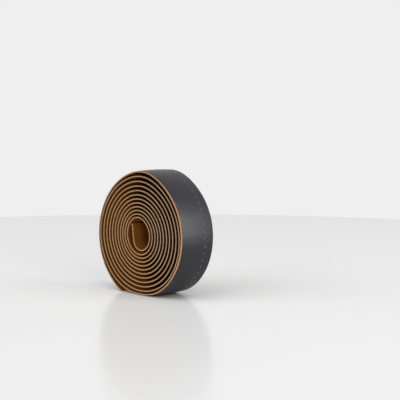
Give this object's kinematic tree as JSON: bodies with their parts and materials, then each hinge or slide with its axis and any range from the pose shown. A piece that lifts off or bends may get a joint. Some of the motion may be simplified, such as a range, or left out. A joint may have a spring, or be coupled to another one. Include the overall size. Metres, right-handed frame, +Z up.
{
  "type": "handlebar tape roll",
  "caption": "Roll of padded handlebar tape, wound in a loose flat spiral and stood on its rim, with a hollow core and its outer end free.",
  "frame": {"origin": "on the surface the roll stands on, under the middle of its box", "axes": "+Z up; Y along the winding's axis, with the face that the picture shows towards -Y; +X to the right as seen from that face, away from the free outer end"},
  "size_m": [0.0964, 0.03, 0.0911],
  "materials": {
    "bar_tape": "smooth matt charcoal polyurethane face, tan edges and back"
  },
  "bodies": {
    "root": {"handlebar_tape": "bar_tape"}
  },
  "joints": []
}
